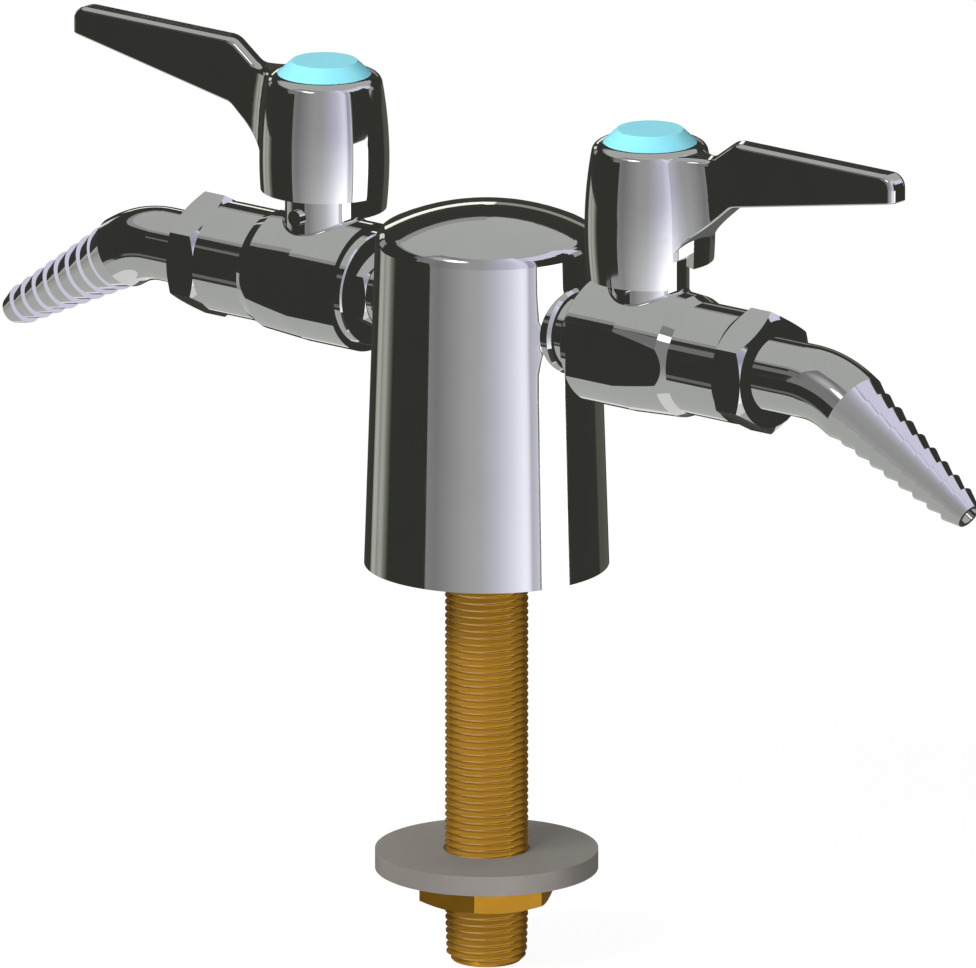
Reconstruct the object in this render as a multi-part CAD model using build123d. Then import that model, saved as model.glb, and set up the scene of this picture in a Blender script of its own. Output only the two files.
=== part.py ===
import os
from math import cos, radians, sin, sqrt, tan

from build123d import *

# Laboratory turret valve. All lengths are in millimetres and all angles in degrees.
# The origin is the centre of the turret's underside, where it stands on the deck. +Z is up.
# The two valves lie along X. Each valve is built with its outlet towards +X,
# and the left one is the same set of pieces turned half round the Z axis.

# Clearances between pieces
thread_clearance = 0.05
running_clearance = 0.08
seat_clearance = 0.05
hole_clearance = 0.4
slip_clearance = 0.05

# Turret body
turret_base_radius = 31.33
turret_draft = 1.9
turret_height = 94.2
turret_dome_radius = 60.0
turret_rim_round = 4.5
turret_wall = 3.5
turret_roof = 4.0
column_radius = 15.0
column_recess = 1.0
cross_tube_radius = 12.5
port_boss_radius = 11.1
port_face_distance = 30.0
port_boss_bevel = 0.8
valve_axis_height = 65.85
passage_radius = 7.0

# Shank, with a half-inch pipe thread of 14 threads to the inch
shank_thread_radius = 10.67
shank_thread_pitch = 1.8143
shank_thread_depth = 1.25
shank_thread_flat = 0.18
shank_length_below_deck = 105.1
shank_taper_length = 13.1
shank_taper_ratio = 1 / 32
shank_end_bevel = 1.5
shank_engagement = 25.0
shank_bore_radius = 6.35

# Deck washer and locknut
washer_radius = 28.575
washer_thickness = 5.1
washer_top_below_deck = 75.7
locknut_across_flats = 31.75
locknut_thickness = 8.2
locknut_bevel_angle = 20.0

# Inlet nipple
nipple_thread_radius = 8.1
nipple_thread_length = 10.5
nipple_neck_radius = 9.25
nipple_neck_length = 2.4
nipple_hex_across_flats = 19.05
nipple_hex_length = 3.9
nipple_collar_radius = 14.7
nipple_collar_thickness = 2.35
nipple_collar_bevel = 0.4
spigot_radius = 10.8
flow_radius = 4.7

# Body seal, a flat ring in a pocket of the body's mouth
seal_width = 1.8
seal_thickness = 1.5

# Valve body
body_radius = 16.6
body_barrel_length = 15.48
body_cone_length = 14.0
body_cone_end_radius = 15.74
body_shoulder_length = 3.3
body_flats_width = 30.0
outlet_radius = 14.5
outlet_length = 14.9
stub_thread_radius = 11.9
stub_length = 3.5
neck_radius = 10.1
neck_height = 31.6
neck_root_round = 1.0

# Ball and its seats
ball_radius = 8.0
ball_port_radius = 4.5
cavity_radius = 9.5
seat_overlap = 2.55
ball_slot_width = 4.5
ball_slot_depth = 2.6

# Stem
stem_radius = 3.95
stem_flange_radius = 5.2
stem_flange_thickness = 1.6
stem_flange_gap = 0.25
tang_thickness = 4.4
tang_width = 8.0
stem_flat_width = 6.0
thrust_washer_thickness = 0.9
thrust_washer_radius = 5.4

# Packing and gland nut, in the top of the neck
packing_radius = 6.5
packing_height = 2.0
gland_thread_length = 8.0
gland_head_across_flats = 14.0
gland_head_height = 2.6

# Stop pins, one on each side of the neck
stop_pin_radius = 2.1
stop_pin_reach = 11.95
stop_pin_depth = 5.0
stop_pin_height = 17.95
stop_gap = 0.15

# Handle hub, whose heights are measured from the valve's axis
hub_radius = 16.65
hub_barrel_radius = 115.0
hub_barrel_height = 31.65
hub_skirt_height = 18.85
hub_short_skirt_height = 23.65
hub_top_round = 2.8
hub_cavity_radius = 12.9
hub_web_gap = 1.5
hub_web_thickness = 10.5
hub_head_recess_radius = 5.5
skirt_step_angle = 171.0
skirt_notch_start_angle = -33.4
skirt_notch_end_angle = -8.0
skirt_notch_low_height = 25.95
skirt_notch_high_height = 28.25
stop_lug_height = 4.0
stop_lug_inner_radius = 10.6
stop_lug_outer_radius = 13.9

# Lever
lever_reach = 82.2
lever_thickness = 6.35
lever_rise_above_hub = 4.9
lever_root_below_hub_top = 1.0
lever_shoulder_start = 21.0
lever_shoulder_distance = 29.15
lever_shoulder_skew = 30.0
lever_shoulder_round = 5.0
lever_shoulder_foot_round = 4.0
lever_edge_round = 1.6
lever_lower_edge_round = 0.5
lever_tip_depth = 7.15
lever_tip_round = 3.8
lever_underside_slope = 10.4
lever_knee_round = 5.0
lever_gusset_slope = 40.0
lever_gusset_round = 12.5
lever_gusset_foot_distance = 13.7
lever_gusset_foot_height = 26.0
lever_gusset_foot_slope = 76.0
lever_blend_radius = 13.0
lever_root_inset = 0.05

# Handle screw and index button
screw_radius = 2.5
screw_head_radius = 4.6
screw_head_height = 2.7
screw_length = 12.5
screw_socket_across_flats = 4.0
screw_socket_depth = 1.6
button_radius = 12.0
button_face_radius = 8.45
button_height = 3.35
button_plug_radius = 7.0
button_plug_length = 4.6
button_plug_gap = 0.55

# Outlet nut, nozzle and nozzle gasket
nut_across_flats = 27.9
nut_length = 9.1
nut_end_wall = 2.4
gasket_thickness = 1.2
gasket_radius = 11.3
nozzle_flange_radius = 11.4
tube_radius = 9.525
bend_angle = 30.0
bend_corner_distance = 113.6
bend_radius = 25.4
barb_start = 8.88
barb_tooth_count = 9
barb_tooth_pitch = 4.87
barb_tooth_drop = 1.8
barb_first_crest_radius = 8.65
barb_crest_step = 0.485
barb_bore_radius = 2.4
barb_bore_length = 30.0

# Places along the valve's axis, measured from the turret's axis
nipple_hex_start = port_face_distance + nipple_neck_length
nipple_collar_start = nipple_hex_start + nipple_hex_length
body_start = nipple_collar_start + nipple_collar_thickness
stem_distance = body_start + body_barrel_length
cone_end = stem_distance + body_cone_length
outlet_start = cone_end + body_shoulder_length
outlet_end = outlet_start + outlet_length
stub_end = outlet_end + stub_length
flange_start = stub_end + gasket_thickness
nut_end = outlet_end + nut_length
flange_end = nut_end - nut_end_wall
cavity_start = stem_distance - ball_radius - seat_clearance
cavity_end = stem_distance + ball_radius + seat_clearance

# Places along the stem, measured from the valve's axis
slot_floor_height = ball_radius - ball_slot_depth
flange_underside_height = ball_radius + stem_flange_gap
thrust_washer_height = flange_underside_height + stem_flange_thickness
thrust_shoulder_height = thrust_washer_height + thrust_washer_thickness
gland_seat_height = neck_height - gland_thread_length
packing_floor_height = gland_seat_height - packing_height
hub_web_height = neck_height + gland_head_height + hub_web_gap
screw_seat_height = hub_web_height + hub_web_thickness
hub_top_height = screw_seat_height + screw_head_height + button_plug_gap + button_plug_length
lever_top_height = hub_top_height + lever_rise_above_hub
lever_root_top_height = hub_top_height - lever_root_below_hub_top

# Reference axes
valve_axis = Axis((0, 0, valve_axis_height), (1, 0, 0))
stem_base = Location((stem_distance, 0, valve_axis_height))


def turned_on_z(corners):
    """Solid turned about the Z axis from corners given as (radius, height)."""
    return revolve(Plane.XZ * make_face(Polyline(*corners, close=True)), Axis.Z)


def turned_on_valve(corners):
    """Solid turned about the valve's axis from corners given as (distance, radius)."""
    raised = [(distance, valve_axis_height + radius) for distance, radius in corners]
    return revolve(Plane.XZ * make_face(Polyline(*raised, close=True)), valve_axis)


def valve_ring(start, end, outer, inner):
    """Plain ring round the valve's axis."""
    return turned_on_valve([(start, inner), (end, inner), (end, outer), (start, outer)])


def valve_rod(start, end, radius):
    """Plain round bar on the valve's axis."""
    return turned_on_valve([(start, 0), (end, 0), (end, radius), (start, radius)])


def upright(radius, low, high):
    """Round bar on the Z axis between two heights."""
    return Pos(0, 0, low) * Cylinder(radius, high - low, align=(Align.CENTER, Align.CENTER, Align.MIN))


def sector(inner, outer, low, high, first_angle, last_angle):
    """Part of a ring round the Z axis, between two angles."""
    half = Plane.XZ * make_face(Polyline((inner, low), (outer, low), (outer, high), (inner, high), close=True))
    return Rot(0, 0, first_angle) * revolve(half, Axis.Z, last_angle - first_angle)


def hexagon_on_valve(across_flats, start, end):
    """Hexagon bar on the valve's axis with two upright flats, its corners bevelled at both ends."""
    corner = across_flats / sqrt(3)
    bevel = (corner - across_flats / 2) * tan(radians(30))
    outline = RegularPolygon(across_flats / 2, 6, major_radius=False, rotation=30)
    bar = extrude(Plane.YZ.offset(start) * outline, end - start)
    bar = Pos(0, 0, valve_axis_height) * bar
    limit = turned_on_valve([
        (start, 0),
        (start, across_flats / 2),
        (start + bevel, corner),
        (end - bevel, corner),
        (end, across_flats / 2),
        (end, 0),
    ])
    return bar & limit


def top_rim(shape):
    """The highest full circle among the shape's edges."""
    return shape.edges().filter_by(lambda edge: edge.is_closed).sort_by(Axis.Z)[-1]


def bell(base_radius, dome_radius):
    """Closed bell: a wall with the casting's draft under a spherical dome."""
    slope = tan(radians(turret_draft))
    centre = turret_height - turret_dome_radius
    middle = base_radius * slope + centre
    rest = base_radius**2 + centre**2 - dome_radius**2
    rim_height = (middle + sqrt(middle**2 - (1 + slope**2) * rest)) / (1 + slope**2)
    rim_radius = base_radius - slope * rim_height
    shoulder = sqrt(dome_radius**2 - (rim_radius / 2) ** 2)
    wall = Polyline((0, centre + dome_radius), (0, 0), (base_radius, 0), (rim_radius, rim_height))
    dome = ThreePointArc((rim_radius, rim_height), (rim_radius / 2, centre + shoulder), (0, centre + dome_radius))
    return revolve(Plane.XZ * make_face(wall + dome), Axis.Z)


def make_turret_body():
    outer = bell(turret_base_radius, turret_dome_radius)
    outer = fillet(top_rim(outer), turret_rim_round)
    hollow = bell(turret_base_radius - turret_wall, turret_dome_radius - turret_roof)
    column = upright(column_radius, column_recess, turret_height)
    cross = valve_rod(-port_face_distance, port_face_distance, cross_tube_radius)
    core = (column + cross) & outer
    body = outer - hollow + core
    for side in (1, -1):
        face = side * port_face_distance
        inner = side * (port_face_distance - port_boss_bevel)
        boss = turned_on_valve([
            (0, 0),
            (face, 0),
            (face, port_boss_radius - port_boss_bevel),
            (inner, port_boss_radius),
            (0, port_boss_radius),
        ])
        body += boss
    thread_start = port_face_distance - nipple_thread_length
    body -= valve_rod(-port_face_distance, port_face_distance, passage_radius)
    for side in (1, -1):
        body -= valve_rod(side * thread_start, side * port_face_distance, nipple_thread_radius + thread_clearance)
    body -= upright(shank_thread_radius + thread_clearance, column_recess, shank_engagement)
    body -= upright(passage_radius, shank_engagement, valve_axis_height)
    return body


def make_shank():
    lower_end = -shank_length_below_deck
    parallel_end = lower_end + shank_taper_length
    end_radius = shank_thread_radius - shank_taper_length * shank_taper_ratio
    blank = turned_on_z([
        (shank_bore_radius, shank_engagement),
        (shank_thread_radius, shank_engagement),
        (shank_thread_radius, parallel_end),
        (end_radius, lower_end + shank_end_bevel),
        (end_radius - shank_end_bevel, lower_end),
        (shank_bore_radius, lower_end),
    ])
    # One groove for each pitch of the thread, with its flanks and its narrow root and crest
    root_radius = shank_thread_radius - shank_thread_depth
    corners = [(shank_bore_radius, lower_end)]
    for groove in range(int((shank_engagement - lower_end) / shank_thread_pitch)):
        bottom = lower_end + groove * shank_thread_pitch
        middle = bottom + shank_thread_pitch / 2
        corners += [
            (root_radius, bottom),
            (root_radius, bottom + shank_thread_flat / 2),
            (shank_thread_radius, middle - shank_thread_flat / 2),
            (shank_thread_radius, middle + shank_thread_flat / 2),
            (root_radius, bottom + shank_thread_pitch - shank_thread_flat / 2),
        ]
    corners += [
        (root_radius, bottom + shank_thread_pitch),
        (root_radius, shank_engagement),
        (shank_bore_radius, shank_engagement),
    ]
    return turned_on_z(corners) & blank


def make_deck_washer():
    top = -washer_top_below_deck
    bottom = top - washer_thickness
    return upright(washer_radius, bottom, top) - upright(shank_thread_radius + hole_clearance, bottom, top)


def make_locknut():
    top = -washer_top_below_deck - washer_thickness
    bottom = top - locknut_thickness
    corner = locknut_across_flats / sqrt(3)
    bevel = (corner - locknut_across_flats / 2) * tan(radians(locknut_bevel_angle))
    outline = RegularPolygon(locknut_across_flats / 2, 6, major_radius=False)
    bar = Pos(0, 0, bottom) * extrude(outline, locknut_thickness)
    limit = turned_on_z([
        (0, bottom),
        (locknut_across_flats / 2, bottom),
        (corner, bottom + bevel),
        (corner, top),
        (0, top),
    ])
    return (bar & limit) - upright(shank_thread_radius + running_clearance, bottom, top)


def make_inlet_nipple():
    thread_start = port_face_distance - nipple_thread_length
    shape = valve_rod(thread_start, port_face_distance, nipple_thread_radius)
    shape += valve_rod(port_face_distance, nipple_hex_start, nipple_neck_radius)
    shape += hexagon_on_valve(nipple_hex_across_flats, nipple_hex_start, nipple_collar_start)
    shape += turned_on_valve([
        (nipple_collar_start, 0),
        (nipple_collar_start, nipple_collar_radius - nipple_collar_bevel),
        (nipple_collar_start + nipple_collar_bevel, nipple_collar_radius),
        (body_start, nipple_collar_radius),
        (body_start, 0),
    ])
    shape += valve_rod(body_start, cavity_start, spigot_radius)
    return shape - valve_rod(thread_start, cavity_start, flow_radius)


def make_body_seal():
    return valve_ring(body_start, body_start + seal_thickness, spigot_radius + seal_width, spigot_radius)


def make_valve_body():
    shape = turned_on_valve([
        (body_start, 0),
        (body_start, body_radius),
        (stem_distance, body_radius),
        (cone_end, body_cone_end_radius),
        (outlet_start, outlet_radius),
        (outlet_end, outlet_radius),
        (outlet_end, stub_thread_radius),
        (stub_end, stub_thread_radius),
        (stub_end, 0),
    ])
    length = stub_end - body_start
    slab = Box(length, body_flats_width, 2 * body_radius, align=(Align.MIN, Align.CENTER, Align.CENTER))
    shape &= Pos(body_start, 0, valve_axis_height) * slab
    shape += stem_base * upright(neck_radius, 0, neck_height)
    shape = fillet(neck_root_edges(shape), neck_root_round)
    cuts = [
        valve_rod(body_start, body_start + seal_thickness, spigot_radius + seal_width + slip_clearance),
        valve_rod(body_start, cavity_start, spigot_radius + thread_clearance),
        valve_rod(cavity_start, cavity_end, cavity_radius),
        valve_rod(cavity_end, stub_end, flow_radius),
        stem_base * upright(stem_radius + running_clearance, 0, neck_height),
        stem_base * upright(thrust_washer_radius + slip_clearance, 0, thrust_shoulder_height),
        stem_base * upright(packing_radius + slip_clearance, packing_floor_height, neck_height),
    ]
    for cut in cuts:
        shape -= cut
    return shape - stop_pin_pair(stop_pin_radius + slip_clearance)


def neck_root_edges(shape):
    """The edges where the upright neck meets the body's crown."""
    found = []
    for edge in shape.edges():
        middle = edge.position_at(0.5)
        off = sqrt((middle.X - stem_distance) ** 2 + middle.Y**2)
        on_neck = abs(off - neck_radius) < 0.05
        if on_neck and middle.Z < valve_axis_height + body_radius + 0.01 and edge.length > 1:
            found.append(edge)
    return found


def stop_pin_pair(radius):
    """The two round pins, each from inside the neck's wall to beyond it."""
    inner = neck_radius - stop_pin_depth
    pin = Cylinder(radius, stop_pin_reach - inner, align=(Align.CENTER, Align.CENTER, Align.MIN))
    level = stem_base * Pos(0, 0, stop_pin_height)
    pair = Part()
    for turn in (-90, 90):
        pair += level * Rot(turn, 0, 0) * Pos(0, 0, inner) * pin
    return pair


def make_seat(side):
    """Seat ring before (-1) or behind (+1) the ball, hollowed to the ball's curve."""
    curve = ball_radius + seat_clearance

    def place(offset, radius):
        return (stem_distance + side * offset, valve_axis_height + radius)

    mouth = sqrt(curve**2 - flow_radius**2)
    lip = ball_radius - seat_overlap
    lip_radius = sqrt(curve**2 - lip**2)
    middle_radius = (flow_radius + lip_radius) / 2
    outer = cavity_radius - slip_clearance
    hollow = ThreePointArc(
        place(mouth, flow_radius),
        place(sqrt(curve**2 - middle_radius**2), middle_radius),
        place(lip, lip_radius),
    )
    back = Polyline(
        place(lip, lip_radius),
        place(lip, outer),
        place(curve, outer),
        place(curve, flow_radius),
        place(mouth, flow_radius),
    )
    return revolve(Plane.XZ * make_face(hollow + back), valve_axis)


def make_ball():
    shape = Sphere(ball_radius)
    shape -= Rot(0, 90, 0) * Cylinder(ball_port_radius, 2 * ball_radius)
    slot = Box(ball_slot_width, 2 * ball_radius, 2 * ball_radius, align=(Align.CENTER, Align.CENTER, Align.MIN))
    return stem_base * (shape - Pos(0, 0, slot_floor_height) * slot)


def make_thrust_washer():
    low, high = thrust_washer_height, thrust_shoulder_height
    ring = upright(thrust_washer_radius, low, high) - upright(stem_radius + running_clearance, low, high)
    return stem_base * ring


def make_stem():
    low = slot_floor_height + stem_flange_gap
    tang_height = flange_underside_height - low
    tang = Box(tang_thickness, tang_width, tang_height, align=(Align.CENTER, Align.CENTER, Align.MIN))
    shape = Pos(0, 0, low) * tang
    shape += upright(stem_flange_radius, flange_underside_height, thrust_washer_height)
    shape += upright(stem_radius, thrust_washer_height, hub_web_height)
    shape += drive_end(stem_radius, stem_flat_width)
    shape -= upright(screw_radius, screw_seat_height - screw_length - 1, screw_seat_height)
    return stem_base * shape


def drive_end(radius, width):
    """Round end of the stem with two flats, between the hub's web faces."""
    bar = upright(radius, hub_web_height, screw_seat_height)
    block = Box(2 * radius, width, screw_seat_height - hub_web_height, align=(Align.CENTER, Align.CENTER, Align.MIN))
    return bar & (Pos(0, 0, hub_web_height) * block)


def make_stem_packing():
    low, high = packing_floor_height, gland_seat_height
    return stem_base * (upright(packing_radius, low, high) - upright(stem_radius + running_clearance, low, high))


def make_gland_nut():
    top = neck_height + gland_head_height
    shape = upright(packing_radius, gland_seat_height, neck_height)
    outline = RegularPolygon(gland_head_across_flats / 2, 6, major_radius=False)
    shape += Pos(0, 0, neck_height) * extrude(outline, gland_head_height)
    return stem_base * (shape - upright(stem_radius + running_clearance, gland_seat_height, top))


def hub_side(height):
    """Radius of the hub's barrel at a height above the valve's axis."""
    return hub_radius - hub_barrel_radius + sqrt(hub_barrel_radius**2 - (height - hub_barrel_height) ** 2)


def barrel(low, high, inset=0):
    """Barrel-shaped bar on the Z axis between two heights, at or a little inside the hub's surface."""
    bottom = (hub_side(low) - inset, low)
    top = (hub_side(high) - inset, high)
    side = ThreePointArc(bottom, (hub_radius - inset, hub_barrel_height), top)
    ends = Polyline(top, (0, high), (0, low), bottom)
    return Rot(0, 0, 180) * revolve(Plane.XZ * make_face(side + ends), Axis.Z)


def make_blended_bar():
    """Barrel and blade over the lever's full height, with the hollow blends between them."""
    low, high = hub_skirt_height / 2, lever_top_height + 1
    blade = Box(lever_reach, lever_thickness, high - low, align=(Align.MIN, Align.CENTER, Align.MIN))
    shape = barrel(low, high, lever_root_inset) + Pos(0, 0, low) * blade
    creases = []
    for edge in shape.edges():
        middle = edge.position_at(0.5)
        upright_edge = abs(edge.position_at(0).Z - edge.position_at(1).Z) > 0.9 * (high - low)
        if upright_edge and middle.X < hub_radius and abs(abs(middle.Y) - lever_thickness / 2) < 0.01:
            creases.append(edge)
    return fillet(creases, lever_blend_radius)


def lever_side_view():
    """Side view of the lever and its root, as a face with X outwards and Y upwards."""
    top = lever_top_height
    tip_low = top - lever_tip_depth
    rise = tan(radians(lever_underside_slope))
    gusset_rise = tan(radians(lever_gusset_slope))
    foot = (lever_gusset_foot_distance, lever_gusset_foot_height)
    foot_slope = radians(lever_gusset_foot_slope)
    turn = lever_gusset_slope - lever_gusset_foot_slope
    curve = JernArc(foot, (cos(foot_slope), sin(foot_slope)), lever_gusset_round, turn)
    end = curve @ 1
    meet_x = (tip_low - lever_reach * rise - end.Y + end.X * gusset_rise) / (gusset_rise - rise)
    meet = (meet_x, tip_low - (lever_reach - meet_x) * rise)
    underside = FilletPolyline((end.X, end.Y), meet, (lever_reach, tip_low), radius=lever_knee_round)
    rest = Polyline((lever_reach, tip_low), (lever_reach, top), (0, top), (0, foot[1]), foot)
    return make_face(curve + underside + rest)


def make_shoulder_cut():
    """What is cut from above the lever: the air over its root, its shoulder and its level top."""
    top, far = lever_top_height, 2 * lever_reach
    reach = (lever_shoulder_distance - lever_shoulder_start) * cos(radians(lever_shoulder_skew))
    foot, crest = (0, lever_root_top_height), (reach, top)
    rounds = [lever_shoulder_foot_round, lever_shoulder_round]
    outline = FilletPolyline((-far, lever_root_top_height), foot, crest, (far, top), radius=rounds)
    sky = Polyline((far, top), (far, 2 * top), (-far, 2 * top), (-far, lever_root_top_height))
    cutter = extrude(Plane.XZ * make_face(outline + sky), far, both=True)
    return Pos(lever_shoulder_start, 0, 0) * Rot(0, 0, lever_shoulder_skew) * cutter


def lever_outer_edges(shape):
    """The edges along both sides of the lever's upper face, and down its two end corners."""
    found = []
    for edge in shape.edges():
        points = [edge.position_at(share) for share in (0, 0.5, 1)]
        beside = all(abs(point.Y) > lever_thickness / 2 - 0.01 for point in points)
        above = all(point.Z > lever_root_top_height - 0.01 for point in points)
        at_tip = all(point.X > lever_reach - lever_tip_round - 0.01 for point in points)
        if beside and (above or at_tip):
            found.append(edge)
    return found


def lever_lower_edges(shape):
    """The edges round the lever's underside, from its root to its tip, without the seams across it."""
    under = [face for face in shape.faces() if face.normal_at(face.center()).Z < -0.3]
    edges = [edge for face in under for edge in face.edges()]
    middles = [edge.position_at(0.5) for edge in edges]
    found = []
    for edge, middle in zip(edges, middles):
        seam = sum((middle - other).length < 0.01 for other in middles) > 1
        nearest = min(edge.position_at(share).X for share in (0, 0.5, 1))
        if not seam and nearest > lever_gusset_foot_distance - 0.1:
            found.append(edge)
    return found


def make_lever():
    """Lever along +X with its root, cut from the blended bar by its side view and its skewed shoulder."""
    side_view = extrude(Plane.XZ * lever_side_view(), 2 * hub_radius, both=True)
    shape = (make_blended_bar() & side_view) - make_shoulder_cut()
    tip = shape.edges().filter_by(Axis.Y).group_by(Axis.X)[-1].sort_by(Axis.Z)[-1]
    shape = fillet(tip, lever_tip_round)
    shape = fillet(lever_outer_edges(shape), lever_edge_round)
    return fillet(lever_lower_edges(shape), lever_lower_edge_round)


def make_skirt_cut():
    """What is cut from under the hub: one half of its skirt is shorter, with a notch beside the lever."""
    low = hub_skirt_height / 2
    outer = 2 * hub_radius
    half = sector(0, outer, low, hub_short_skirt_height, skirt_notch_end_angle, skirt_step_angle)
    middle_angle = (skirt_notch_start_angle + skirt_notch_end_angle) / 2
    half_width = hub_radius * sin(radians((skirt_notch_end_angle - skirt_notch_start_angle) / 2))
    outline = Polyline(
        (-half_width, low),
        (half_width, low),
        (half_width, skirt_notch_high_height),
        (-half_width, skirt_notch_low_height),
        close=True,
    )
    notch = extrude(Plane.YZ * make_face(outline), outer)
    return half + Rot(0, 0, middle_angle) * notch


def make_handle():
    hub = barrel(hub_skirt_height, hub_top_height)
    hub = fillet(top_rim(hub), hub_top_round) - make_skirt_cut()
    shape = hub + make_lever()
    hollow = upright(hub_cavity_radius, 0, hub_web_height)
    lug_top = hub_skirt_height + stop_lug_height
    lug = sector(stop_lug_inner_radius, stop_lug_outer_radius, hub_skirt_height, lug_top, 180, 270)
    offset = stop_pin_radius + stop_gap
    quarter = Box(2 * hub_radius, 2 * hub_radius, hub_top_height, align=(Align.MAX, Align.MAX, Align.MIN))
    lug &= Pos(-offset, -offset, 0) * quarter
    shape = shape - hollow + lug
    shape -= drive_end(stem_radius + slip_clearance, stem_flat_width + 2 * slip_clearance)
    shape -= upright(hub_head_recess_radius, screw_seat_height, hub_top_height)
    plug_floor = hub_top_height - button_plug_length - slip_clearance
    shape -= upright(button_plug_radius + slip_clearance, plug_floor, hub_top_height)
    return stem_base * shape


def make_handle_screw():
    head_top = screw_seat_height + screw_head_height
    shape = upright(screw_head_radius, screw_seat_height, head_top)
    shape += upright(screw_radius, screw_seat_height - screw_length, screw_seat_height)
    socket = RegularPolygon(screw_socket_across_flats / 2, 6, major_radius=False)
    shape -= Pos(0, 0, head_top - screw_socket_depth) * extrude(socket, screw_socket_depth)
    return stem_base * shape


def make_index_button():
    low, high = hub_top_height, hub_top_height + button_height
    cap = turned_on_z([(0, low), (button_radius, low), (button_face_radius, high), (0, high)])
    return stem_base * (cap + upright(button_plug_radius, low - button_plug_length, low))


def make_nozzle_gasket():
    return valve_ring(stub_end, flange_start, gasket_radius, flow_radius)


def nozzle_tube(radius, start, last):
    """Bar that follows the nozzle's bent centre line, from a distance to a length past the corner."""
    tangent = bend_radius * tan(radians(bend_angle / 2))
    bend_start = bend_corner_distance - tangent
    straight = valve_rod(start, bend_start, radius)
    section = Plane.YZ.offset(bend_start) * Circle(radius)
    section = Pos(0, 0, valve_axis_height) * section
    bend_axis = Axis((bend_start, 0, valve_axis_height - bend_radius), (0, 1, 0))
    bend = revolve(section, bend_axis, bend_angle)
    end = Rot(0, 90, 0) * Cylinder(radius, last - tangent, align=(Align.CENTER, Align.CENTER, Align.MIN))
    return straight + bend + barb_base() * Pos(tangent, 0, 0) * end


def barb_base():
    """Place at the corner of the centre line, with X along the serrated end."""
    return Pos(bend_corner_distance, 0, valve_axis_height) * Rot(0, bend_angle, 0)


def make_nozzle():
    outline = [(barb_start, 0), (barb_start, tube_radius)]
    crest = tube_radius
    for tooth in range(barb_tooth_count):
        end = barb_start + (tooth + 1) * barb_tooth_pitch
        outline.append((end, crest - barb_tooth_drop))
        crest = barb_first_crest_radius - tooth * barb_crest_step
        if tooth < barb_tooth_count - 1:
            outline.append((end, crest))
    tip = barb_start + barb_tooth_count * barb_tooth_pitch
    outline.append((tip, 0))
    barb = revolve(Plane.XZ * make_face(Polyline(*outline, close=True)), Axis.X)
    shape = nozzle_tube(tube_radius, flange_end, barb_start) + barb_base() * barb
    shape += valve_rod(flange_start, flange_end, nozzle_flange_radius)
    shape -= nozzle_tube(flow_radius, flange_start, tip - barb_bore_length)
    bore = Rot(0, 90, 0) * Cylinder(barb_bore_radius, tip, align=(Align.CENTER, Align.CENTER, Align.MIN))
    return shape - barb_base() * Pos(barb_start, 0, 0) * bore


def make_outlet_nut():
    shape = hexagon_on_valve(nut_across_flats, outlet_end, nut_end)
    shape -= valve_rod(outlet_end, flange_end, stub_thread_radius + thread_clearance)
    return shape - valve_rod(flange_end, nut_end, tube_radius + running_clearance)


def make_valve():
    """All pieces of one valve, by name, with its outlet towards +X."""
    return {
        "inlet_nipple": make_inlet_nipple(),
        "body_seal": make_body_seal(),
        "valve_body": make_valve_body(),
        "stop_pins": stop_pin_pair(stop_pin_radius),
        "inlet_seat": make_seat(-1),
        "outlet_seat": make_seat(1),
        "ball": make_ball(),
        "thrust_washer": make_thrust_washer(),
        "stem": make_stem(),
        "stem_packing": make_stem_packing(),
        "gland_nut": make_gland_nut(),
        "handle": make_handle(),
        "handle_screw": make_handle_screw(),
        "index_button": make_index_button(),
        "nozzle_gasket": make_nozzle_gasket(),
        "nozzle": make_nozzle(),
        "outlet_nut": make_outlet_nut(),
    }


pieces = {
    "turret_body": make_turret_body(),
    "shank": make_shank(),
    "deck_washer": make_deck_washer(),
    "locknut": make_locknut(),
}
for name, piece in make_valve().items():
    pieces["right_" + name] = piece
    pieces["left_" + name] = Rot(0, 0, 180) * piece

os.makedirs("parts", exist_ok=True)
for name, piece in pieces.items():
    export_step(piece, f"parts/{name}.step")
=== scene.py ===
import math

import bmesh
import bpy
from mathutils import Matrix, Vector


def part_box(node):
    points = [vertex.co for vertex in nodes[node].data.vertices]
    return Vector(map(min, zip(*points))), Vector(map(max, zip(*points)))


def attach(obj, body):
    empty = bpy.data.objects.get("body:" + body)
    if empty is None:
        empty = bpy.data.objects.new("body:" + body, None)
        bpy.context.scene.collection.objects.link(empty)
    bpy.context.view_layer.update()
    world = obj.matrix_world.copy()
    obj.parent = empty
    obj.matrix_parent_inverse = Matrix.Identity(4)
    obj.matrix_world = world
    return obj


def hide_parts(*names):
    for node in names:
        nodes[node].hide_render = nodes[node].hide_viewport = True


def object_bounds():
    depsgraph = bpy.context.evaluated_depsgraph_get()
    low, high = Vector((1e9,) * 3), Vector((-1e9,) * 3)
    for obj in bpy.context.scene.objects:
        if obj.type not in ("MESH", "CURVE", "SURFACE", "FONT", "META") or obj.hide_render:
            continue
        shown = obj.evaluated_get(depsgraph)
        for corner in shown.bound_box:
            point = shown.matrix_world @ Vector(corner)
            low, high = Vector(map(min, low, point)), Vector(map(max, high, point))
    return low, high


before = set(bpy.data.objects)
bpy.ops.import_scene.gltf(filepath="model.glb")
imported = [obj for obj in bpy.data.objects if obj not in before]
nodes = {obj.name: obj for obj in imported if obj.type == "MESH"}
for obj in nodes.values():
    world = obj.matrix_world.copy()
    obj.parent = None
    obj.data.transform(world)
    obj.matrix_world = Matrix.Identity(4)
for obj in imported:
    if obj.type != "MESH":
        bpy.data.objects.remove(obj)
cad_low, cad_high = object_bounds()

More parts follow.
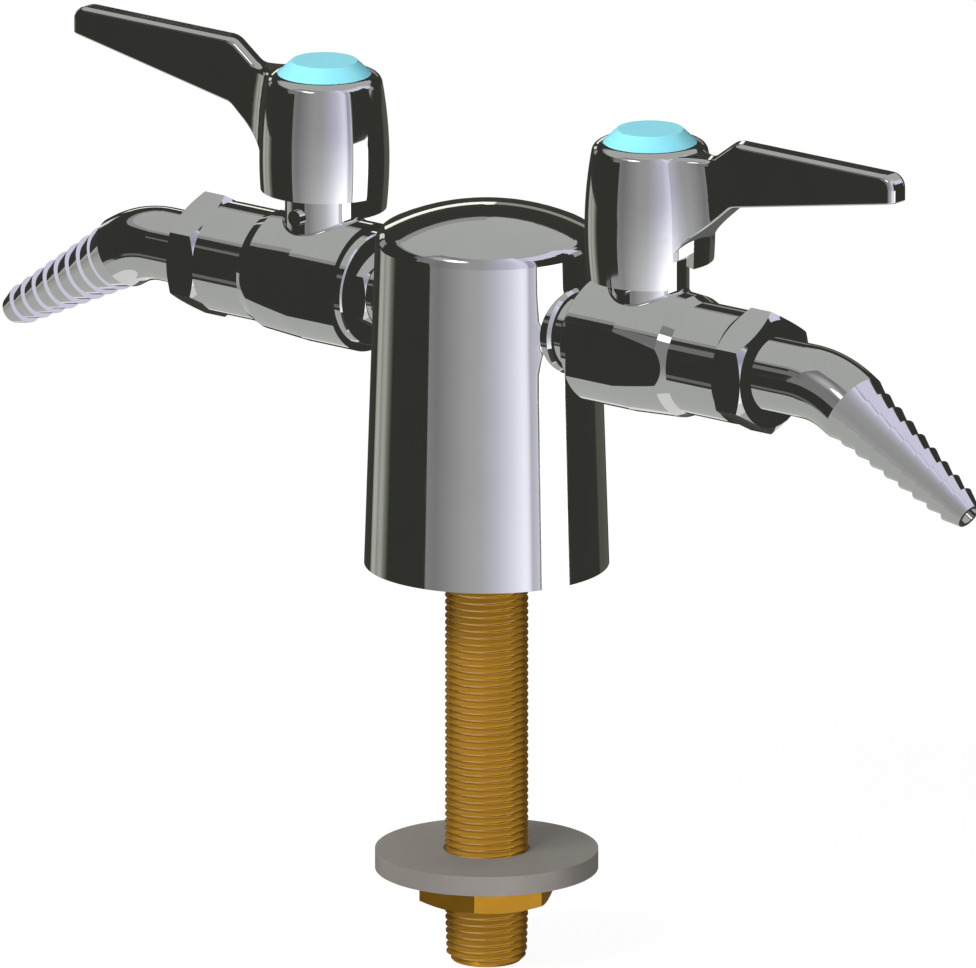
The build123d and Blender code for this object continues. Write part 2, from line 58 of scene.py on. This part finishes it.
# The camera stands 40 degrees to the right of the front, which is 50 degrees from the valves'
# common axis, and looks down 15 degrees. Its lens is very long, so that the far valve looks as
# large as the near one.
picture_width = 0.2491
camera_azimuth = math.radians(-50)
camera_elevation = math.radians(15)
lens = bpy.data.cameras.new("bench_camera")
lens.lens = 1650
lens.sensor_width = 36
lens.clip_end = 200
camera = bpy.data.objects.new("bench_camera", lens)
bpy.context.scene.collection.objects.link(camera)
towards_camera = Vector((
    math.cos(camera_azimuth) * math.cos(camera_elevation),
    math.sin(camera_azimuth) * math.cos(camera_elevation),
    math.sin(camera_elevation),
))
aim = Vector((0.00026, 0.00022, 0.02053))
camera.location = aim + towards_camera * (picture_width * lens.lens / lens.sensor_width)
camera.rotation_euler = (-towards_camera).to_track_quat("-Z", "Y").to_euler()
bpy.context.scene.camera = camera
bpy.context.scene.view_settings.view_transform = "Standard"

# The floor is a wide pale sheet, a hair below the shank's lower end. To the camera it is as white
# as the room, and it keeps a share of its own shading for the shadow.
floor_gap = 0.0002
floor_radius = 12
floor_height = cad_low.z - floor_gap


def room_light(tree, white, shaded):
    """White for the camera, metal and glass, and the plain shading for everything else."""
    paths = tree.nodes.new("ShaderNodeLightPath")
    either = tree.nodes.new("ShaderNodeMath")
    either.operation = "MAXIMUM"
    seen = tree.nodes.new("ShaderNodeMath")
    seen.operation = "MAXIMUM"
    mix = tree.nodes.new("ShaderNodeMixShader")
    tree.links.new(paths.outputs["Is Camera Ray"], either.inputs[0])
    tree.links.new(paths.outputs["Is Glossy Ray"], either.inputs[1])
    tree.links.new(either.outputs[0], seen.inputs[0])
    tree.links.new(paths.outputs["Is Transmission Ray"], seen.inputs[1])
    tree.links.new(seen.outputs[0], mix.inputs[0])
    tree.links.new(shaded, mix.inputs[1])
    tree.links.new(white, mix.inputs[2])
    return mix.outputs[0]


sheet = bmesh.new()
bmesh.ops.create_circle(
    sheet, cap_ends=True, segments=96, radius=floor_radius, matrix=Matrix.Translation((0, 0, floor_height)),
)
floor_mesh = bpy.data.meshes.new("floor")
sheet.to_mesh(floor_mesh)
sheet.free()
floor = bpy.data.objects.new("floor", floor_mesh)
bpy.context.scene.collection.objects.link(floor)
floor.visible_glossy = False
floor_finish = bpy.data.materials.new("floor")
floor_finish.use_nodes = True
tree = floor_finish.node_tree
tree.nodes.clear()
paper = tree.nodes.new("ShaderNodeBsdfDiffuse")
paper.inputs["Color"].default_value = (0.9, 0.9, 0.9, 1)
glow = tree.nodes.new("ShaderNodeEmission")
glow.inputs["Strength"].default_value = 1.05
tinted = tree.nodes.new("ShaderNodeMixShader")
tinted.inputs[0].default_value = 0.9
tree.links.new(paper.outputs[0], tinted.inputs[1])
tree.links.new(glow.outputs[0], tinted.inputs[2])
sheet_output = tree.nodes.new("ShaderNodeOutputMaterial")
tree.links.new(room_light(tree, tinted.outputs[0], paper.outputs[0]), sheet_output.inputs["Surface"])
floor_mesh.materials.append(floor_finish)

# The room is white to the camera and in the metal, and lights the object softly from all round.
# Two soft lamps stand above the camera's left shoulder and shade the paler pieces.
lamp_distance = 1.5
room = bpy.data.worlds.new("room")
room.use_nodes = True
bpy.context.scene.world = room
tree = room.node_tree
tree.nodes.clear()
white_room = tree.nodes.new("ShaderNodeBackground")
white_room.inputs["Color"].default_value = (1, 1, 1, 1)
white_room.inputs["Strength"].default_value = 1
soft_room = tree.nodes.new("ShaderNodeBackground")
soft_room.inputs["Strength"].default_value = 0.55
room_output = tree.nodes.new("ShaderNodeOutputWorld")
tree.links.new(room_light(tree, white_room.outputs[0], soft_room.outputs[0]), room_output.inputs["Surface"])


def direction(azimuth, elevation):
    """A direction in degrees, with the azimuth counted from the camera's side, to the right."""
    turn, rise = math.radians(azimuth) + camera_azimuth, math.radians(elevation)
    return Vector((math.cos(turn) * math.cos(rise), math.sin(turn) * math.cos(rise), math.sin(rise)))


for azimuth, elevation, width, height, power in (
    (-52, 42, 0.40, 0.32, 9),
    (-29, 37, 0.22, 0.48, 8),
):
    light = bpy.data.lights.new("square_lamp", "AREA")
    light.shape = "RECTANGLE"
    light.size = width
    light.size_y = height
    light.energy = power
    lamp = bpy.data.objects.new("square_lamp", light)
    bpy.context.scene.collection.objects.link(lamp)
    lamp.location = direction(azimuth, elevation) * lamp_distance
    lamp.rotation_euler = direction(azimuth, elevation).to_track_quat("Z", "Y").to_euler()
    lamp.visible_glossy = False

# Large cards stand far off round the object, as in a photographer's studio for plated ware. They
# are seen only in the metal: dark ones at its sides, a pale ceiling and floor, and one behind the
# camera that grows brighter to the right and downwards. Smaller panels stand a little nearer.
card_distance = 8.0
degrees_per_face = 4
fade_top = -1
fade_bottom = -29
fade_curve = 1.5


def card(name, azimuths, elevations, upper, lower=None, nearer=1.0):
    """A curved card between two azimuths and two elevations.

    It has one colour, or stops of azimuth and colour, for its upper part and perhaps its lower part.
    """
    first, last = azimuths
    low, high = elevations
    distance = card_distance * nearer
    arch = bmesh.new()
    rows = max(2, int((high - low) / degrees_per_face))
    columns = max(2, int((last - first) / degrees_per_face))
    heights = [low + (high - low) * row / rows for row in range(rows + 1)]
    straight_on = Matrix.Rotation(-camera_azimuth, 3, "Z")
    points = [arch.verts.new(straight_on @ direction(0, height)) for height in heights]
    edges = [arch.edges.new(pair) for pair in zip(points, points[1:])]
    to_first = Matrix.Rotation(math.radians(first), 3, "Z")
    bmesh.ops.rotate(arch, verts=points, cent=(0, 0, 0), matrix=to_first)
    bmesh.ops.spin(
        arch, geom=points + edges, cent=(0, 0, 0), axis=(0, 0, 1), angle=math.radians(last - first),
        steps=columns, use_merge=False,
    )
    bmesh.ops.scale(arch, vec=(distance,) * 3, verts=arch.verts)
    bmesh.ops.rotate(arch, verts=arch.verts, cent=(0, 0, 0), matrix=Matrix.Rotation(camera_azimuth, 3, "Z"))
    mesh = bpy.data.meshes.new(name)
    arch.to_mesh(mesh)
    arch.free()
    finish = bpy.data.materials.new(name)
    finish.use_nodes = True
    tree = finish.node_tree
    tree.nodes.clear()
    surface = tree.nodes.new("ShaderNodeEmission")
    output = tree.nodes.new("ShaderNodeOutputMaterial")
    tree.links.new(surface.outputs[0], output.inputs["Surface"])
    if isinstance(upper[0], float):
        surface.inputs["Color"].default_value = (*upper, 1)
    else:
        place = tree.nodes.new("ShaderNodeTexCoord")
        turned = tree.nodes.new("ShaderNodeMapping")
        turned.inputs["Rotation"].default_value = (0, 0, -camera_azimuth)
        split = tree.nodes.new("ShaderNodeSeparateXYZ")
        around = tree.nodes.new("ShaderNodeMath")
        around.operation = "ARCTAN2"
        share = tree.nodes.new("ShaderNodeMapRange")
        share.inputs["From Min"].default_value = math.radians(first)
        share.inputs["From Max"].default_value = math.radians(last)
        fall = tree.nodes.new("ShaderNodeMapRange")
        fall.inputs["From Min"].default_value = distance * math.sin(math.radians(fade_top))
        fall.inputs["From Max"].default_value = distance * math.sin(math.radians(fade_bottom))
        growing = tree.nodes.new("ShaderNodeMath")
        growing.operation = "POWER"
        growing.inputs[1].default_value = fade_curve
        blend = tree.nodes.new("ShaderNodeMix")
        blend.data_type = "RGBA"
        tree.links.new(place.outputs["Object"], turned.inputs["Vector"])
        tree.links.new(turned.outputs["Vector"], split.inputs[0])
        tree.links.new(split.outputs["Y"], around.inputs[0])
        tree.links.new(split.outputs["X"], around.inputs[1])
        tree.links.new(around.outputs[0], share.inputs["Value"])
        tree.links.new(split.outputs["Z"], fall.inputs["Value"])
        tree.links.new(fall.outputs[0], growing.inputs[0])
        tree.links.new(growing.outputs[0], blend.inputs[0])
        for socket, stops in ((blend.inputs[6], upper), (blend.inputs[7], lower or upper)):
            shades = tree.nodes.new("ShaderNodeValToRGB")
            ends = shades.color_ramp.elements
            ends[0].color = (*stops[0][1], 1)
            ends[1].color = (*stops[-1][1], 1)
            for azimuth, shade in stops[1:-1]:
                ends.new((azimuth - first) / (last - first)).color = (*shade, 1)
            tree.links.new(share.outputs[0], shades.inputs[0])
            tree.links.new(shades.outputs[0], socket)
        tree.links.new(blend.outputs[2], surface.inputs["Color"])
    mesh.materials.append(finish)
    stand = bpy.data.objects.new(name, mesh)
    bpy.context.scene.collection.objects.link(stand)
    stand.visible_camera = False
    stand.visible_diffuse = False
    stand.visible_transmission = False
    stand.visible_shadow = False
    stand.visible_volume_scatter = False


def grey(level):
    return (level, level, level)


dark = (0.052, 0.054, 0.045)
ceiling = (0.625, 0.635, 0.615)
pale_floor = (0.61, 0.62, 0.59)
lavender = (1.02, 0.98, 1.22)
card("dark_card_left", (-182, -77), (-32, 34), dark)
card("dark_card_right", (84, 178), (-32, 33), dark)
card("dark_card_right_low", (53, 84), (-7, 30), dark)
card("window_card", (53, 84), (-27, -7), grey(2.2))
card("lavender_card", (42, 112), (33, 52), lavender)
card("lavender_edge", (97, 112), (17, 33), lavender, nearer=0.96)
card("pale_corner", (112, 120), (26, 33), (0.66, 0.66, 0.68), nearer=0.96)
card("ceiling_card", (-180, 180), (60, 90), ceiling)
card("ceiling_left", (-180, -77), (34, 60), ceiling)
card("ceiling_edge", (-180, -77), (33, 37), grey(0.44), nearer=0.97)
card("ceiling_right", (112, 180), (33, 60), ceiling)
card("ceiling_rim", (50, 112), (52, 60), ceiling)
card("floor_card_left", (-168, -90), (-60, -24), pale_floor, nearer=0.98)
card("floor_card_front", (-90, -35), (-60, -31), pale_floor, nearer=0.98)
card("floor_card_right", (40, 100), (-75, -42), pale_floor)
card("low_dark_card", (5, 35), (-62, -33), (0.08, 0.08, 0.07))
card("low_dark_card_right", (100, 155), (-68, -40), (0.08, 0.08, 0.07))
card("left_panel", (-142, -108), (-24, -9), (
    (-142, grey(0.2)),
    (-138, (0.60, 0.61, 0.52)),
    (-132, (0.60, 0.61, 0.52)),
    (-128, grey(0.40)),
    (-124, (0.55, 0.56, 0.50)),
    (-120, (0.55, 0.56, 0.50)),
    (-115, (0.28, 0.29, 0.23)),
    (-108, (0.06, 0.07, 0.06)),
), nearer=0.94)
card("right_panel", (134, 166), (-22, -8), (0.12, 0.12, 0.10), nearer=0.94)
card("back_light", (-181, -166), (9, 14), (1.5, 1.47, 1.32), nearer=0.94)
card("back_light_right", (162, 179), (9, 14), (0.40, 0.39, 0.34), nearer=0.94)
card("back_strip_right", (101, 114), (-2, 18), grey(0.5), nearer=0.94)
card("back_strip_left", (-144, -133), (-2, 16), grey(0.42), nearer=0.94)
card("back_corner", (-158, -148), (5, 17), (1.0, 1.0, 0.96), nearer=0.94)
card("low_streak", (-90, -80), (-27, -22), grey(0.22), nearer=0.94)
card("side_panel", (-83, -73), (19, 31), grey(0.26), nearer=0.94)
card("dark_notch", (-78, -60), (-22, 4), dark, nearer=0.94)
card("low_grey_card", (150, 180), (-48, -31), (0.155, 0.16, 0.145), nearer=0.97)
card("dark_edge", (51.5, 53), (-33, 30), grey(0.22), nearer=0.94)
card("front_card", (-77, 50), (-33, 60), (
    (-77, grey(0.30)),
    (-60, grey(0.315)),
    (-50, grey(0.27)),
    (-35, grey(0.37)),
    (-20, grey(0.475)),
    (-5, grey(0.50)),
    (10, (0.63, 0.63, 0.72)),
    (25, (0.80, 0.80, 0.98)),
    (36, (1.10, 1.10, 1.32)),
    (41, (1.00, 1.00, 1.22)),
    (44, (0.50, 0.50, 0.62)),
    (50, (0.66, 0.66, 0.86)),
), (
    (-77, grey(0.52)),
    (-50, grey(0.43)),
    (-35, grey(0.63)),
    (-20, grey(0.80)),
    (-5, (1.05, 1.05, 1.1)),
    (10, (1.47, 1.47, 1.62)),
    (25, grey(2.3)),
    (39, grey(2.7)),
    (44, grey(1.5)),
    (50, grey(1.6)),
))


# A wide oval reflector hangs above the camera's left shoulder. It gives the polished rims, the
# bends and the levers' slopes their white highlight. A larger, dim one spreads a glow round it.
def reflector(name, azimuth, elevation, half_width, half_height, rim_strength, strength, core, nearer):
    """An oval card with an even core that fades towards its rim, sized as a share of its distance."""
    distance = card_distance * nearer
    facing = direction(azimuth, elevation)
    turn = facing.to_track_quat("Z", "Y")
    oval = bmesh.new()
    bmesh.ops.create_circle(oval, cap_ends=True, segments=48, radius=distance)
    bmesh.ops.scale(oval, vec=(half_width, half_height, 1), verts=oval.verts)
    bmesh.ops.transform(oval, matrix=turn.to_matrix().to_4x4(), verts=oval.verts)
    bmesh.ops.translate(oval, vec=facing * distance, verts=oval.verts)
    mesh = bpy.data.meshes.new(name)
    oval.to_mesh(mesh)
    oval.free()
    finish = bpy.data.materials.new(name)
    finish.use_nodes = True
    tree = finish.node_tree
    tree.nodes.clear()
    place = tree.nodes.new("ShaderNodeTexCoord")
    centred = tree.nodes.new("ShaderNodeMapping")
    centred.vector_type = "TEXTURE"
    centred.inputs["Location"].default_value = facing * distance
    centred.inputs["Rotation"].default_value = turn.to_euler()
    centred.inputs["Scale"].default_value = (half_width * distance, half_height * distance, distance)
    outwards = tree.nodes.new("ShaderNodeVectorMath")
    outwards.operation = "LENGTH"
    fade = tree.nodes.new("ShaderNodeMapRange")
    fade.inputs["From Min"].default_value = 1
    fade.inputs["From Max"].default_value = core
    fade.inputs["To Min"].default_value = rim_strength
    fade.inputs["To Max"].default_value = strength
    shine = tree.nodes.new("ShaderNodeEmission")
    output = tree.nodes.new("ShaderNodeOutputMaterial")
    tree.links.new(place.outputs["Object"], centred.inputs["Vector"])
    tree.links.new(centred.outputs["Vector"], outwards.inputs[0])
    tree.links.new(outwards.outputs["Value"], fade.inputs["Value"])
    tree.links.new(fade.outputs[0], shine.inputs["Strength"])
    tree.links.new(shine.outputs[0], output.inputs["Surface"])
    mesh.materials.append(finish)
    stand = bpy.data.objects.new(name, mesh)
    bpy.context.scene.collection.objects.link(stand)
    stand.visible_camera = False
    stand.visible_diffuse = False
    stand.visible_shadow = False


reflector(
    "glow_reflector", azimuth=-55, elevation=42, half_width=0.30, half_height=0.22,
    rim_strength=0.30, strength=0.70, core=0.3, nearer=0.92,
)
reflector(
    "highlight_reflector", azimuth=-37, elevation=39, half_width=0.235, half_height=0.105,
    rim_strength=0.5, strength=3.2, core=0.72, nearer=0.9,
)

# Chrome plate, polished, over cast and turned brass. It carries faint polishing marks and a haze
# of water spots. The turret carries it, and so does most of each valve.
chrome_polish = 0.035


def plated(name, grain, haze):
    """Polished chrome whose gloss varies a little with buffing marks and dried water."""
    finish = bpy.data.materials.new(name)
    finish.use_nodes = True
    tree = finish.node_tree
    shader = tree.nodes["Principled BSDF"]
    shader.inputs["Metallic"].default_value = 1
    place = tree.nodes.new("ShaderNodeTexCoord")
    drawn = tree.nodes.new("ShaderNodeMapping")
    drawn.inputs["Scale"].default_value = grain
    marks = tree.nodes.new("ShaderNodeTexNoise")
    marks.inputs["Scale"].default_value = 900
    marks.inputs["Detail"].default_value = 4
    spots = tree.nodes.new("ShaderNodeTexNoise")
    spots.inputs["Scale"].default_value = 60
    spots.inputs["Detail"].default_value = 3
    gloss = tree.nodes.new("ShaderNodeMapRange")
    gloss.inputs["From Min"].default_value = 0.35
    gloss.inputs["From Max"].default_value = 0.75
    gloss.inputs["To Min"].default_value = chrome_polish
    gloss.inputs["To Max"].default_value = chrome_polish + haze
    tint = tree.nodes.new("ShaderNodeValToRGB")
    tint.color_ramp.elements[0].position = 0.3
    tint.color_ramp.elements[0].color = (0.545, 0.55, 0.545, 1)
    tint.color_ramp.elements[1].position = 0.8
    tint.color_ramp.elements[1].color = (0.575, 0.58, 0.575, 1)
    ripple = tree.nodes.new("ShaderNodeBump")
    ripple.inputs["Strength"].default_value = 0.02
    ripple.inputs["Distance"].default_value = 0.00002
    tree.links.new(place.outputs["Object"], drawn.inputs["Vector"])
    tree.links.new(drawn.outputs["Vector"], marks.inputs["Vector"])
    tree.links.new(place.outputs["Object"], spots.inputs["Vector"])
    tree.links.new(spots.outputs["Fac"], gloss.inputs["Value"])
    tree.links.new(gloss.outputs[0], shader.inputs["Roughness"])
    tree.links.new(spots.outputs["Fac"], tint.inputs[0])
    tree.links.new(tint.outputs[0], shader.inputs["Base Color"])
    tree.links.new(marks.outputs["Fac"], ripple.inputs["Height"])
    tree.links.new(ripple.outputs[0], shader.inputs["Normal"])
    return finish


def finish_node(name, finish):
    """Gives a piece of the frame its material, and keeps it out of the other pieces' reflections."""
    nodes[name].data.materials.clear()
    nodes[name].data.materials.append(finish)
    nodes[name].visible_glossy = False


finish_node("turret_body", plated("turret_chrome", grain=(1, 1, 0.3), haze=0.04))

# The shank is a brass tube with a half-inch pipe thread cut along it, and is screwed up into the
# turret. Its lower end is tapered and bevelled for the supply fitting.
thread_pitch = 0.0018143
thread_crest = 0.01067
thread_root = 0.00942
thread_crest_width = 0.00018
turns_per_step = 1 / 48
spare_turns = 2
smooth_up_to = 28
shank_bore = 0.00635
bore_sides = 48
taper_start = -0.092
taper_ratio = 1 / 32
end_bevel = 0.0015
shank_low, shank_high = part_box("shank")


def machined_brass(name, grain):
    """Bare brass from the lathe, with cutting marks and a little tarnish in its hollows."""
    finish = bpy.data.materials.new(name)
    finish.use_nodes = True
    tree = finish.node_tree
    shader = tree.nodes["Principled BSDF"]
    shader.inputs["Metallic"].default_value = 0.55
    shader.inputs["Specular Tint"].default_value = (1, 0.70, 0.12, 1)
    place = tree.nodes.new("ShaderNodeTexCoord")
    drawn = tree.nodes.new("ShaderNodeMapping")
    drawn.inputs["Scale"].default_value = grain
    marks = tree.nodes.new("ShaderNodeTexNoise")
    marks.inputs["Scale"].default_value = 700
    marks.inputs["Detail"].default_value = 4
    tarnish = tree.nodes.new("ShaderNodeTexNoise")
    tarnish.inputs["Scale"].default_value = 120
    tarnish.inputs["Detail"].default_value = 5
    tint = tree.nodes.new("ShaderNodeValToRGB")
    tint.color_ramp.elements[0].position = 0.3
    tint.color_ramp.elements[0].color = (0.43, 0.213, 0.018, 1)
    tint.color_ramp.elements[1].position = 0.7
    tint.color_ramp.elements[1].color = (0.485, 0.240, 0.023, 1)
    gloss = tree.nodes.new("ShaderNodeMapRange")
    gloss.inputs["To Min"].default_value = 0.20
    gloss.inputs["To Max"].default_value = 0.30
    cuts = tree.nodes.new("ShaderNodeBump")
    cuts.inputs["Strength"].default_value = 0.12
    cuts.inputs["Distance"].default_value = 0.00004
    tree.links.new(place.outputs["Object"], drawn.inputs["Vector"])
    tree.links.new(drawn.outputs["Vector"], marks.inputs["Vector"])
    tree.links.new(place.outputs["Object"], tarnish.inputs["Vector"])
    tree.links.new(tarnish.outputs["Fac"], tint.inputs[0])
    tree.links.new(tint.outputs[0], shader.inputs["Base Color"])
    tree.links.new(marks.outputs["Fac"], gloss.inputs["Value"])
    tree.links.new(gloss.outputs[0], shader.inputs["Roughness"])
    tree.links.new(marks.outputs["Fac"], cuts.inputs["Height"])
    tree.links.new(cuts.outputs[0], shader.inputs["Normal"])
    return finish


def threaded_tube(low, high):
    """Tube with a right-hand thread outside, cut square at both ends."""
    touching = 1e-6
    cut_tolerance = 1e-7
    groove = bmesh.new()
    flank = (thread_pitch - 2 * thread_crest_width) / 2
    profile = (
        (thread_root, 0),
        (thread_root, thread_crest_width),
        (thread_crest, thread_crest_width + flank),
        (thread_crest, 2 * thread_crest_width + flank),
        (thread_root, thread_pitch),
    )
    start = low - spare_turns * thread_pitch
    points = [groove.verts.new((radius, 0, start + rise)) for radius, rise in profile]
    edges = [groove.edges.new(pair) for pair in zip(points, points[1:])]
    steps = math.ceil((high - low + (spare_turns + 1) * thread_pitch) / (thread_pitch * turns_per_step))
    bmesh.ops.spin(
        groove, geom=points + edges, cent=(0, 0, 0), axis=(0, 0, 1),
        dvec=(0, 0, thread_pitch * turns_per_step),
        angle=2 * math.pi * turns_per_step * steps, steps=steps, use_merge=False,
    )
    bmesh.ops.remove_doubles(groove, verts=groove.verts, dist=touching)
    for height, normal in ((low, (0, 0, -1)), (high, (0, 0, 1))):
        bmesh.ops.bisect_plane(
            groove, geom=groove.verts[:] + groove.edges[:] + groove.faces[:], dist=cut_tolerance,
            plane_co=(0, 0, height), plane_no=normal, clear_outer=True,
        )
    ends = []
    for height in (low, high):
        rim = [
            edge for edge in groove.edges
            if edge.is_boundary and all(abs(vert.co.z - height) < touching for vert in edge.verts)
        ]
        bore = bmesh.ops.create_circle(
            groove, cap_ends=False, segments=bore_sides, radius=shank_bore,
            matrix=Matrix.Translation((0, 0, height)),
        )
        ring = list({edge for vert in bore["verts"] for edge in vert.link_edges})
        bmesh.ops.triangle_fill(groove, use_beauty=True, use_dissolve=False, edges=rim + ring)
        ends += ring
    bmesh.ops.bridge_loops(groove, edges=ends)
    bmesh.ops.recalc_face_normals(groove, faces=groove.faces)
    return groove


thread = threaded_tube(shank_low.z, shank_high.z)
end_radius = thread_crest - (taper_start - shank_low.z) * taper_ratio - end_bevel
for vert in thread.verts:
    height = vert.co.z
    radius = vert.co.xy.length
    outside_bore = radius > shank_bore * 1.01
    if outside_bore and height < taper_start:
        narrowed = radius - (taper_start - height) * taper_ratio
        bevelled = end_radius + height - shank_low.z
        vert.co.xy *= min(narrowed, bevelled) / radius
thread_mesh = bpy.data.meshes.new("threaded_shank")
thread.to_mesh(thread_mesh)
thread.free()
thread_mesh.shade_smooth()
thread_mesh.set_sharp_from_angle(angle=math.radians(smooth_up_to))
thread_mesh.materials.append(machined_brass("shank_brass", grain=(1, 1, 6)))
threaded_shank = bpy.data.objects.new("threaded_shank", thread_mesh)
bpy.context.scene.collection.objects.link(threaded_shank)
threaded_shank.visible_glossy = False
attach(threaded_shank, "base")
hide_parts("shank")

# The deck washer is a flat ring of zinc-plated steel, stamped and tumbled dull. It lies loose on
# the locknut, under the deck.


def dull_steel(name, pale, dark_side, grain):
    """Plated or turned steel, dull, with fine scratches."""
    finish = bpy.data.materials.new(name)
    finish.use_nodes = True
    tree = finish.node_tree
    shader = tree.nodes["Principled BSDF"]
    shader.inputs["Metallic"].default_value = 0.45
    place = tree.nodes.new("ShaderNodeTexCoord")
    drawn = tree.nodes.new("ShaderNodeMapping")
    drawn.inputs["Scale"].default_value = grain
    scratches = tree.nodes.new("ShaderNodeTexNoise")
    scratches.inputs["Scale"].default_value = 500
    scratches.inputs["Detail"].default_value = 6
    clouds = tree.nodes.new("ShaderNodeTexNoise")
    clouds.inputs["Scale"].default_value = 45
    clouds.inputs["Detail"].default_value = 4
    tint = tree.nodes.new("ShaderNodeValToRGB")
    tint.color_ramp.elements[0].position = 0.3
    tint.color_ramp.elements[0].color = (*dark_side, 1)
    tint.color_ramp.elements[1].position = 0.75
    tint.color_ramp.elements[1].color = (*pale, 1)
    gloss = tree.nodes.new("ShaderNodeMapRange")
    gloss.inputs["To Min"].default_value = 0.42
    gloss.inputs["To Max"].default_value = 0.58
    relief = tree.nodes.new("ShaderNodeBump")
    relief.inputs["Strength"].default_value = 0.15
    relief.inputs["Distance"].default_value = 0.00003
    tree.links.new(place.outputs["Object"], drawn.inputs["Vector"])
    tree.links.new(drawn.outputs["Vector"], scratches.inputs["Vector"])
    tree.links.new(place.outputs["Object"], clouds.inputs["Vector"])
    tree.links.new(clouds.outputs["Fac"], tint.inputs[0])
    tree.links.new(tint.outputs[0], shader.inputs["Base Color"])
    tree.links.new(scratches.outputs["Fac"], gloss.inputs["Value"])
    tree.links.new(gloss.outputs[0], shader.inputs["Roughness"])
    tree.links.new(scratches.outputs["Fac"], relief.inputs["Height"])
    tree.links.new(relief.outputs[0], shader.inputs["Normal"])
    return finish


washer_zinc = dull_steel(
    "washer_zinc", pale=(0.355, 0.325, 0.298), dark_side=(0.30, 0.278, 0.255), grain=(1, 1, 1),
)
finish_node("deck_washer", washer_zinc)

# The locknut is a brass hexagon nut, sawn from bar and faced on the lathe. Screwed up the shank,
# it clamps washer, deck and turret together.
finish_node("locknut", machined_brass("locknut_brass", grain=(1, 1, 4)))

# Each valve's nipple, body, stop pins, nozzle and coupling nut are turned or forged brass,
# polished and chromed. The nozzle's serrations keep the lathe's fine rings.
for side in ("right", "left"):
    turned_chrome = plated(f"{side}_turned_chrome", grain=(6, 1, 1), haze=0.03)
    for piece in ("inlet_nipple", "valve_body", "stop_pins", "outlet_nut", "nozzle"):
        finish_node(f"{side}_{piece}", turned_chrome)

# Each handle is hub and lever in one casting, polished by hand before plating. A steel screw
# inside the hub holds it on the stem.
for side in ("right", "left"):
    finish_node(f"{side}_handle", plated(f"{side}_handle_chrome", grain=(1, 1, 1), haze=0.04))
    screw_steel = dull_steel(
        f"{side}_screw_steel", pale=(0.50, 0.50, 0.51), dark_side=(0.40, 0.40, 0.41), grain=(1, 1, 5),
    )
    finish_node(f"{side}_handle_screw", screw_steel)

# The index buttons are light blue plastic caps with a sloping rim. They are moulded and pressed
# into the hubs, where they cover the screws.


def moulded_plastic(name, light, deep, roughness):
    """Moulded plastic with a faint orange peel and slightly uneven gloss."""
    finish = bpy.data.materials.new(name)
    finish.use_nodes = True
    tree = finish.node_tree
    shader = tree.nodes["Principled BSDF"]
    place = tree.nodes.new("ShaderNodeTexCoord")
    peel = tree.nodes.new("ShaderNodeTexNoise")
    peel.inputs["Scale"].default_value = 1400
    peel.inputs["Detail"].default_value = 2
    wear = tree.nodes.new("ShaderNodeTexNoise")
    wear.inputs["Scale"].default_value = 90
    wear.inputs["Detail"].default_value = 4
    tint = tree.nodes.new("ShaderNodeValToRGB")
    tint.color_ramp.elements[0].position = 0.3
    tint.color_ramp.elements[0].color = (*deep, 1)
    tint.color_ramp.elements[1].position = 0.7
    tint.color_ramp.elements[1].color = (*light, 1)
    gloss = tree.nodes.new("ShaderNodeMapRange")
    gloss.inputs["To Min"].default_value = roughness * 0.85
    gloss.inputs["To Max"].default_value = roughness * 1.15
    relief = tree.nodes.new("ShaderNodeBump")
    relief.inputs["Strength"].default_value = 0.06
    relief.inputs["Distance"].default_value = 0.00002
    tree.links.new(place.outputs["Object"], peel.inputs["Vector"])
    tree.links.new(place.outputs["Object"], wear.inputs["Vector"])
    tree.links.new(wear.outputs["Fac"], tint.inputs[0])
    tree.links.new(tint.outputs[0], shader.inputs["Base Color"])
    tree.links.new(wear.outputs["Fac"], gloss.inputs["Value"])
    tree.links.new(gloss.outputs[0], shader.inputs["Roughness"])
    tree.links.new(peel.outputs["Fac"], relief.inputs["Height"])
    tree.links.new(relief.outputs[0], shader.inputs["Normal"])
    return finish


button_blue = moulded_plastic(
    "button_blue", light=(0.28, 0.83, 0.97), deep=(0.26, 0.80, 0.94), roughness=0.35,
)
for side in ("right", "left"):
    finish_node(f"{side}_index_button", button_blue)

# The ball is chromed brass and turns between two white plastic seats. A packing ring and a thrust
# washer of the same plastic seal and carry the stem.
seat_white = moulded_plastic(
    "seat_white", light=(0.86, 0.86, 0.83), deep=(0.80, 0.80, 0.76), roughness=0.55,
)
for side in ("right", "left"):
    finish_node(f"{side}_ball", plated(f"{side}_ball_chrome", grain=(1, 1, 1), haze=0.02))
    for piece in ("inlet_seat", "outlet_seat", "thrust_washer", "stem_packing"):
        finish_node(f"{side}_{piece}", seat_white)

# The stem is turned from stainless bar. The brass gland nut round it is screwed into the neck and
# presses the packing.
for side in ("right", "left"):
    stem_steel = dull_steel(
        f"{side}_stem_steel", pale=(0.55, 0.55, 0.56), dark_side=(0.45, 0.45, 0.46), grain=(1, 1, 6),
    )
    finish_node(f"{side}_stem", stem_steel)
    finish_node(f"{side}_gland_nut", machined_brass(f"{side}_gland_brass", grain=(1, 1, 4)))

# The flat rings in the body's mouth and before the nozzle's flange are cut from black rubber
# sheet. The nipple's collar and the outlet nut squeeze them tight.
rubber = moulded_plastic(
    "seal_rubber", light=(0.022, 0.022, 0.022), deep=(0.012, 0.012, 0.012), roughness=0.7,
)
for side in ("right", "left"):
    for piece in ("body_seal", "nozzle_gasket"):
        finish_node(f"{side}_{piece}", rubber)
